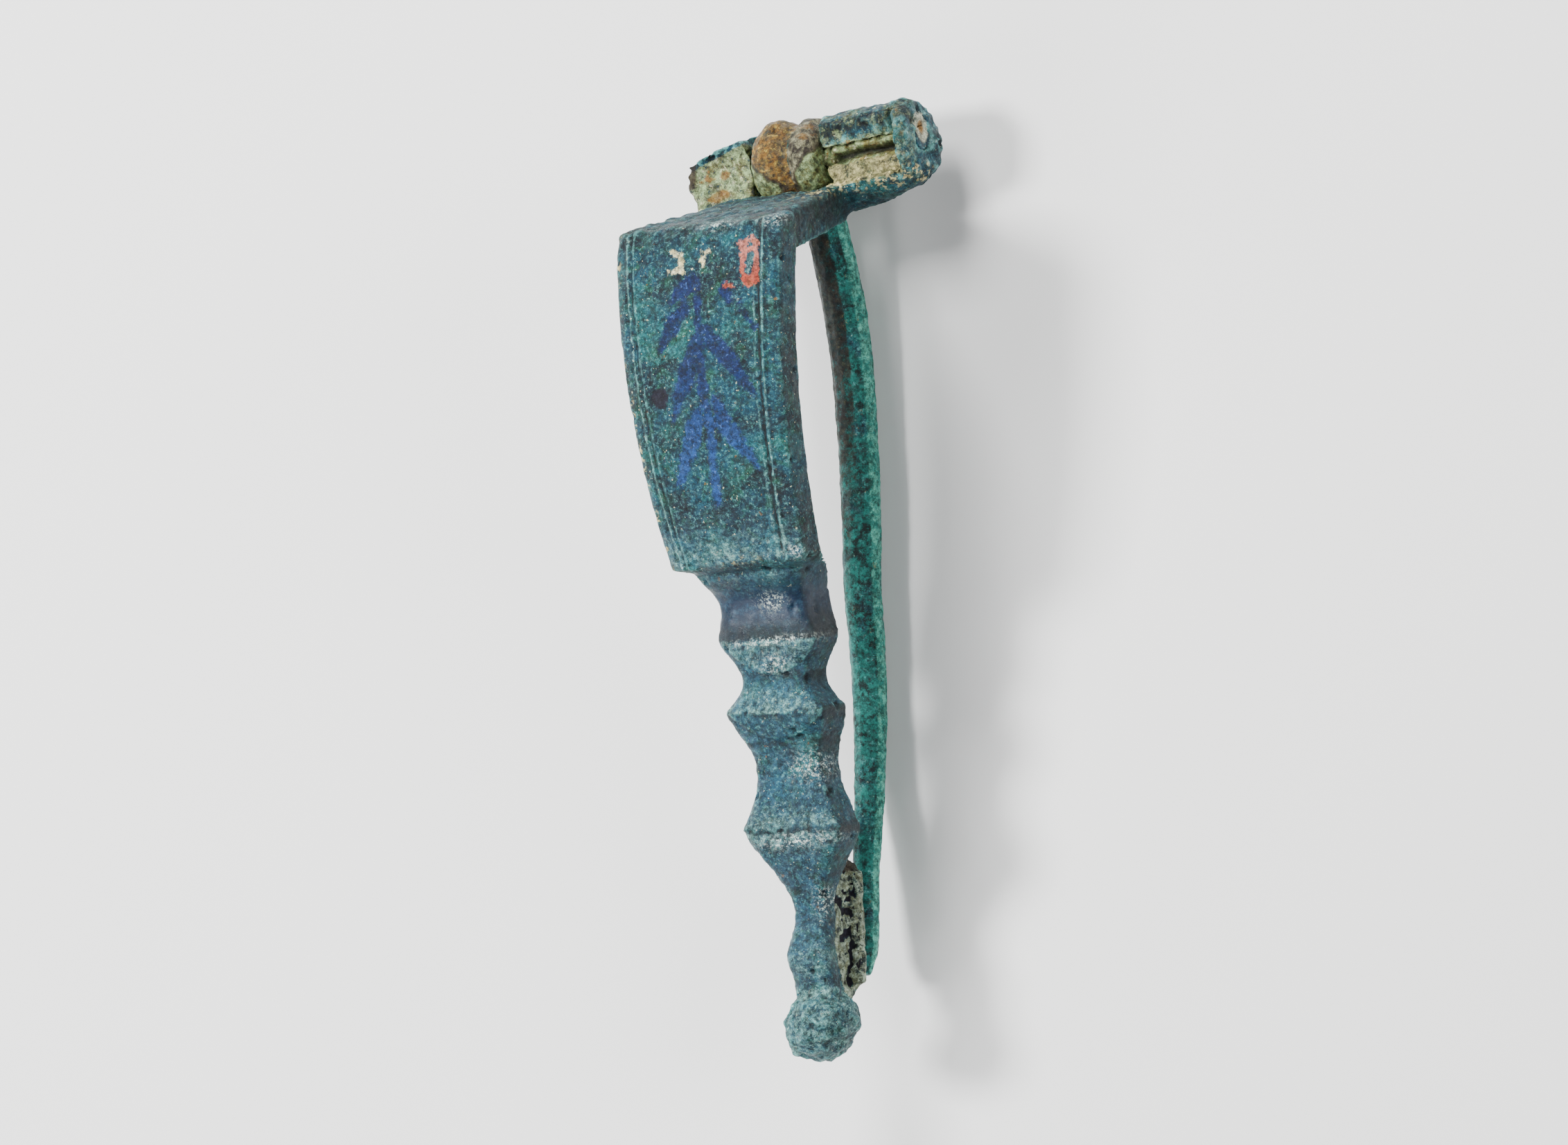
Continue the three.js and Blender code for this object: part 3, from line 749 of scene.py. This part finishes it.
def casting_zones(points, normals):
    """Where each part of the casting is, as shares from 0 to 1, and the measures that its marks need."""
    x, y, z = points.T
    zone = SimpleNamespace(x=x, y=y, z=z, facing_right=normals[:, 0])
    zone.u, zone.v = across_bar(points)
    zone.front = smooth(normals[:, 2], 0.4, 0.8)
    zone.wings = smooth(y, *WINGS_FROM)
    zone.lower = 1 - smooth(y, PANEL_FOOT - 0.4, PANEL_FOOT)
    above_foot = smooth(y, PANEL_FOOT - 0.1, PANEL_FOOT + 0.2)
    below_top = 1 - smooth(y, PANEL_TOP, PANEL_TOP + 0.4)
    zone.panel = zone.front * above_foot * below_top * smooth(z, panel_front(y) - 1.2, panel_front(y) - 0.8)
    zone.inset = panel_half(y) - np.abs(x)
    zone.field = zone.panel * smooth(zone.inset, BORDER, BORDER + 0.2)
    zone.skewed = y + LOWER_SKEW * x
    zone.uneven = zone.skewed + 0.14 * rough(points, 0.9, 47)
    zone.knob = smooth(KNOB_Y - y, 0, 0.8)
    zone.catch = smooth(CATCH_TOP_Z - z, 0.6, 1.4) * smooth(CATCH_Y - y, 0, 1)
    eaten = rough(points * (1, 0.7, 1), 0.42, 33) + 0.6 * bell(z, CATCH_HOLES_Z, 0.9)
    zone.holes = zone.catch * smooth(eaten, 0.6, 0.75)
    return zone


def facet(zone, ridge, depth):
    """1 on the facet below a ridge."""
    lower_edge = ridge - depth * (1 - 0.09 * (zone.x - 0.4) ** 2)
    above_edge = smooth(zone.y, lower_edge - 0.1, lower_edge + 0.08)
    return above_edge * (1 - smooth(zone.skewed, ridge - 0.12, ridge))


def casting_relief(points, zone, bend):
    """How far the casting's low relief stands out at each point."""
    lift = 0.05 * rough(points, 1.3, 1) + 0.04 * rough(points, 0.5, 11)
    lift *= 1 - 0.6 * zone.lower * (1 - smooth(zone.y, *ROUGHER_FROM))
    for at, height, width in GROOVES:
        lift += height * zone.panel * bell(zone.inset, at, width)
    lift *= 1 - 0.6 * bell(zone.inset, 0, 0.5) * (1 - zone.wings) * (1 - zone.lower)
    lift += zone.wings * 0.13 * rough(points, 0.9, 21) + 0.1 * bend * rough(points, 1.0, 25)
    # Each facet ends in a sharp lip, and a line is cut under the panel.
    for ridge, depth, _ in FACETS:
        lift += FACET_LIP * zone.front * facet(zone, ridge, depth)
    lift -= 0.15 * zone.front * zone.lower * bell(zone.y, PANEL_FOOT - 0.55, 0.18)
    # Eaten pits, most of them on the lower ridges, the knob and the catch.
    near, number = grains(points, 0.7, 31)
    ridges = sum(bell(zone.skewed, ridge, 0.5) for ridge in EATEN_RIDGES)
    eaten = number < 0.08 + 0.4 * ridges + 0.25 * smooth(zone.y, *EATEN_KNOB_FROM)
    pits = eaten * (1 - smooth(near, 0.15, 0.45)) * (1 - 0.7 * zone.field)
    lift -= 0.2 * np.maximum(pits * (1 - zone.catch), zone.holes)
    lift += zone.knob * (0.16 * rough(points, 0.8, 95) + 0.05)
    return lift + sum(height * blob(points, middle, size) for middle, size, height in KNOB_LUMPS)


def enamel_marks(points, zone):
    """How far inside the blue, red and cream enamel each point of the panel is."""
    blue = strokes_along(STEM, STEM_WIDTHS) + DASHES
    blue += sum((strokes_along(leaf, LEAF_WIDTHS) for leaf in LEAVES), ())
    red = np.minimum(np.maximum(reach(points, RING), reach(points, RING_BAR)), -reach(points, RING_CORE))
    insides = {"enamel": reach(points, blue), "ring": red, "cream": reach(points, CREAM)}
    return {name: np.where(zone.field > 0.4, inside, -1.0) for name, inside in insides.items()}


def crust_marks(points, zone, clogged):
    """Where crust, cream earth and the different rusts lie on the casting."""
    u, v, z = zone.u, zone.v, zone.z
    thinner_heap = 0.66 * smooth(u, 0, 2) * smooth(v, 0.4, 0.8)
    thin_film = 0.36 * zone.wings * smooth(z, -0.5, 0.8)
    below_break = 1 - smooth(v - broken_height(u), -0.45, -0.2)
    ledge = clogged * smooth(u, 1.5, 2.4) * smooth(-v, 0.2, 0.5)
    catch_side = zone.catch * smooth(zone.facing_right, 0.1, 0.5) * (1 - zone.holes)
    return {
        "crust": np.where(clogged, 1 - thinner_heap, thin_film) * below_break,
        "chalk": np.maximum(ledge, catch_side),
        "stain": rust_stain(u, v, z),
        "rust": 1.5 * blob(points, *BROKEN_END_RUST) + zone.catch * blob(points, *CATCH_RUST),
        "ochre": sum(blob(points, middle, OCHRE_SIZE) for middle in OCHRE_SPOTS),
        "void": 1.2 * blob(points, *DARK_SPOT) + 0.7 * zone.holes,
    }


def shine_marks(points, zone):
    """Where gold grains and painted highlights are, gloss with a painted sheen, and a polish painted navy as
    a dark reflection.
    """
    front_rim = zone.wings * smooth(zone.u, 0.5, 2.5) * smooth(-zone.v, 1.2, 1.7) * smooth(zone.z, -1, 0)
    left_edge = smooth(-zone.x, 2, 4) * (1 - smooth(zone.inset, 0.25, 0.5))
    left_edge *= smooth(noise(points, 1.2, 97), -0.1, 0.3)
    foot_edge = bell(zone.y, PANEL_FOOT + 0.15, 0.2) * bell(zone.x, 0.5, 1.0)
    below_ridge = smooth(zone.skewed, TOP_RIDGE - 0.1, TOP_RIDGE - 0.3)
    # Gloss, which also carries a painted sheen.
    gloss_and_sheen = 0.7 * zone.lower * (1 - zone.knob) + 0.6 * zone.panel * smooth(zone.y, *GLOSS_AND_SHEEN_PANEL_FROM)
    return {
        "gold": front_rim + zone.panel * (0.8 * left_edge + foot_edge),
        "painted_highlight": sum(blob(points, middle, size) for middle, size in PAINTED_HIGHLIGHTS),
        "gloss_and_sheen": np.clip(gloss_and_sheen, 0, 1),
        # The cavetto is polished, and painted navy as a dark reflection.
        "polish_and_dark_reflection": zone.lower * np.clip(1.2 * bell(zone.y, CAVETTO_Y, 1.5), 0, 1) * (1 - 0.6 * below_ridge),
    }


def tone_marks(points, zone, clogged, bend):
    """Where the bronze is pale in colour and where it is painted lit, and where it is dark in colour and
    where it is painted shaded.
    """
    u, v, z = zone.u, zone.v, zone.z
    side = np.sign(zone.x)
    # Streaks on the end plate run out from the axis bar's end.
    end_plate = smooth(u, WING_INNER_END + 0.1, WING_INNER_END + 0.4)
    out = v - STREAKS_V
    spin = np.stack([2 * np.arctan2(z, out), 0.4 * np.hypot(out, z), 0 * u], axis=1)
    streaks = end_plate * noise(spin, 0.5, 45)
    broken = 0.35 + 0.65 * smooth(noise(points, 0.9, 99), -0.45, 0.2)
    pale_lines = border_lines(zone.inset, side, PALE_LINES, PALE_LINE_WIDTH) * broken
    dark_lines = border_lines(zone.inset, side, DARK_LINES, DARK_LINE_WIDTH)
    lit_foot_and_pale_core = 0.5 * smooth(zone.y, *LIT_PANEL_FROM) + 0.8 * smooth(reach(points, RING_CORE), 0, 0.1)
    # The facets below the ridges are painted lit.
    facets = sum(pale_and_lit * facet(zone, ridge, depth) for ridge, depth, pale_and_lit in FACETS)
    under_wall = smooth(v, 0.9, 1.4) * (1 - smooth(v, 1.9, 2.2)) * smooth(u, 1, 2) * smooth(z, 0.6, 1.0)
    # Paler along the border lines, at the ring's core, on the knob, at the neck and in streaks on the end
    # plate; painted light on the panel's foot, on the facets and in bands across the mouldings.
    pale_and_painted_light = zone.panel * (pale_lines + lit_foot_and_pale_core)
    pale_and_painted_light += 0.6 * zone.knob + 0.7 * smooth(streaks, 0, 0.4) + 0.45 * zone.lower * bell(zone.y, NECK_Y, 1.6)
    pale_and_painted_light += zone.front * zone.lower * (0.5 * facets + bands(zone.uneven, LIT_BANDS))
    # Darker along the border lines, at the head plate's bend and in streaks on the end plate; painted shade
    # in bands across the mouldings, on faces turned to the right, in the crust's crevice and on the inside of
    # the right trough's back wall; dark pitted rows along the two lower ridges.
    dark_and_painted_shade = zone.panel * dark_lines + zone.lower * bands(zone.uneven, SHADE_AND_PIT_BANDS)
    dark_and_painted_shade += 0.45 * (1 - zone.front) * smooth(zone.facing_right, 0.3, 0.9) * (1 - zone.wings)
    dark_and_painted_shade += 1.2 * clogged * smooth(u, 1.5, 2.2) * bell(v, CREVICE, 0.2)
    dark_and_painted_shade += 0.35 * bend + 0.9 * under_wall + 0.6 * end_plate * smooth(-streaks, 0, 0.4)
    return {"pale_and_painted_light": pale_and_painted_light, "dark_and_painted_shade": dark_and_painted_shade}


def sculpt_body():
    mesh, clogged, bend = rounded_casting()
    rest, normals = shape_of(mesh)
    zone = casting_zones(rest, normals)
    points = rest + normals * casting_relief(rest, zone, bend)[:, None]
    marks = {
        **enamel_marks(points, zone),
        **crust_marks(points, zone, clogged),
        **shine_marks(points, zone),
        **tone_marks(points, zone, clogged, bend),
    }
    finished(mesh, "brooch_casting", points, marks, "brooch_body", "brooch", body_finish())


# The pin and the axis bar.


def sculpt_pin():
    mesh = refined("pin", PIN_GRAIN, 2)
    points, normals = shape_of(mesh)
    y, z = points[:, 1], points[:, 2]
    u, v = across_bar(points)
    knuckle = smooth(y, *KNUCKLE_FROM)
    lift = (0.03 + 0.03 * knuckle) * rough(points, 1.1, 41) + 0.03 * rough(points, 0.45, 51)
    lift += 0.25 * blob(points, *KNUCKLE_SWELLING) - 0.35 * blob(points, *KNUCKLE_PIT)
    points = points + normals * lift[:, None]
    # Rust on the knuckle's left, stony earth on its right and far left, and crust down both sides, with a
    # dark seam along it.
    left = smooth(-u, -0.05, 0.25)
    far_left = smooth(-u, 1.7, 2.6)
    half_clean = np.where(u < KNUCKLE_MIDDLE, 2.9, 2.1) * (1 - 0.85 * smooth(-v, -1.3, 1.4))
    past = np.abs(u - KNUCKLE_MIDDLE) - half_clean + 0.2 * noise(points, 0.7, 99)
    above = smooth(z, 0, 0.6)
    crusted = smooth(past, -0.15, 0.15) * above
    # The wire is painted lit on the side that faces right and back, and earthy with painted shade on the
    # opposite one.
    side = 0.83 * normals[:, 0] - 0.55 * normals[:, 2]
    wire = 1 - knuckle
    marks = {
        "rust": knuckle * left * (1 - crusted) * (1 - 0.65 * far_left),
        "stone": knuckle * np.maximum(1 - left, far_left) * (1 - crusted),
        "crust": knuckle * crusted,
        "seam": knuckle * bell(past, 0, 0.22) * above,
        "earth_and_shade": wire * (0.25 + 0.75 * smooth(y, *EARTHY_WIRE_FROM)) * smooth(-side, -0.2, 0.5),
        "painted_lit_side": wire * smooth(side, 0.2, 0.8),
    }
    finished(mesh, "pin_wire", points, marks, "pin", "pin", pin_finish())


def sculpt_bar():
    mesh = refined("axis_bar", BAR_GRAIN, 2)
    points, normals = shape_of(mesh)
    u, v = across_bar(points)
    points += normals * (0.08 * rough(points, 0.9, 61))[:, None]
    # The crust of the right wing carries on over its front.
    exposed = smooth(points[:, 2], 0, 0.3) * (1 - smooth(np.abs(points[:, 0] - 4.6), 2.2, 2.6))
    points[:, 2] += exposed * np.clip(crust_height(u, v)[0] - points[:, 2], -0.55, 0.45)
    marks = {
        "cap": smooth(np.abs(u), 7.0, 7.2),
        # Painted shade in the crevice between the heap and the ledge.
        "painted_crevice_shade": 0.9 * exposed * bell(v, CREVICE + 0.1 * noise(points, 1.5, 91), 0.22),
        "stain": rust_stain(u, v, points[:, 2]),
    }
    finished(mesh, "axis_iron", points, marks, "axis_bar", "brooch", iron_finish())


sculpt_body()
sculpt_pin()
sculpt_bar()


# Floor, light and camera. The floor and the lamps are in metres of the frame, and power is in watts.

FLOOR_WIDTH = 3
FLOOR_COLOUR = (0.8, 0.8, 0.79, 1)
FLOOR_ROUGHNESS = 0.8
# Square soft lamps: name, position, width and power.
LAMPS = (
    ("key", (-0.26, 0.07, 0.36), 0.1, 3.7),
    ("top", (-0.06, 0.32, 0.34), 0.18, 3.2),
    ("front", (-0.26, -0.24, 0.3), 0.16, 1.2),
    ("fill", (0.42, 0.0, 0.26), 0.2, 1.4),
)
LAMP_TARGET = (0, 0, 0.006)
SKY_COLOUR = (0.9, 0.93, 1.0, 1)
SKY_STRENGTH = 0.2
# The camera looks at the brooch from far away, so that it sees almost no perspective.
CAMERA_RIGHT = np.array((0.832, -0.110, -0.540))
CAMERA_UP = np.array((0.092, 0.994, -0.060))
CAMERA_BACK = np.array((0.545, 0.0, 0.838))
CAMERA_TARGET = -1.46 * CAMERA_RIGHT - 23.64 * CAMERA_UP
CAMERA_AWAY = 1600.0
CAMERA_LENS = 636.4
CAMERA_SENSOR = 36


def facing(position, target, up=(0, 0, 1)):
    """The placing of a lamp or camera that looks from a position to a target."""
    back = (Vector(position) - Vector(target)).normalized()
    right = Vector(up).cross(back).normalized()
    return Matrix.Translation(position) @ Matrix((right, back.cross(right), back)).transposed().to_4x4()


def add_floor():
    bpy.ops.mesh.primitive_plane_add(size=FLOOR_WIDTH)
    floor = bpy.context.object
    floor.name = "floor"
    material = bpy.data.materials.new("pale_floor")
    material.use_nodes = True
    shader = material.node_tree.nodes["Principled BSDF"]
    shader.inputs["Base Color"].default_value = FLOOR_COLOUR
    shader.inputs["Roughness"].default_value = FLOOR_ROUGHNESS
    floor.data.materials.append(material)
    floor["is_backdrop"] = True


def add_light():
    for name, position, width, power in LAMPS:
        data = bpy.data.lights.new(name, "AREA")
        data.shape = "SQUARE"
        data.size = width
        data.energy = power
        lamp = bpy.data.objects.new(name, data)
        lamp.matrix_world = facing(position, LAMP_TARGET)
        bpy.context.scene.collection.objects.link(lamp)
    world = bpy.data.worlds.new("studio")
    world.use_nodes = True
    sky = world.node_tree.nodes["Background"]
    sky.inputs["Color"].default_value = SKY_COLOUR
    sky.inputs["Strength"].default_value = SKY_STRENGTH
    bpy.context.scene.world = world


def add_camera():
    data = bpy.data.cameras.new("camera")
    data.lens = CAMERA_LENS
    data.sensor_width = CAMERA_SENSOR
    data.clip_start = 0.01
    camera = bpy.data.objects.new("camera", data)
    position = placed(CAMERA_TARGET + CAMERA_BACK * CAMERA_AWAY)
    camera.matrix_world = facing(position, placed(CAMERA_TARGET), TURN @ CAMERA_UP)
    bpy.context.scene.collection.objects.link(camera)
    bpy.context.scene.camera = camera


add_floor()
add_light()
add_camera()

size_at_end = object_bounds()


def plain(value):
    return value if isinstance(value, (float, int, str)) else [plain(v) for v in value]


{"after_load": plain(size_after_load), "before_finish": plain(size_at_end)}
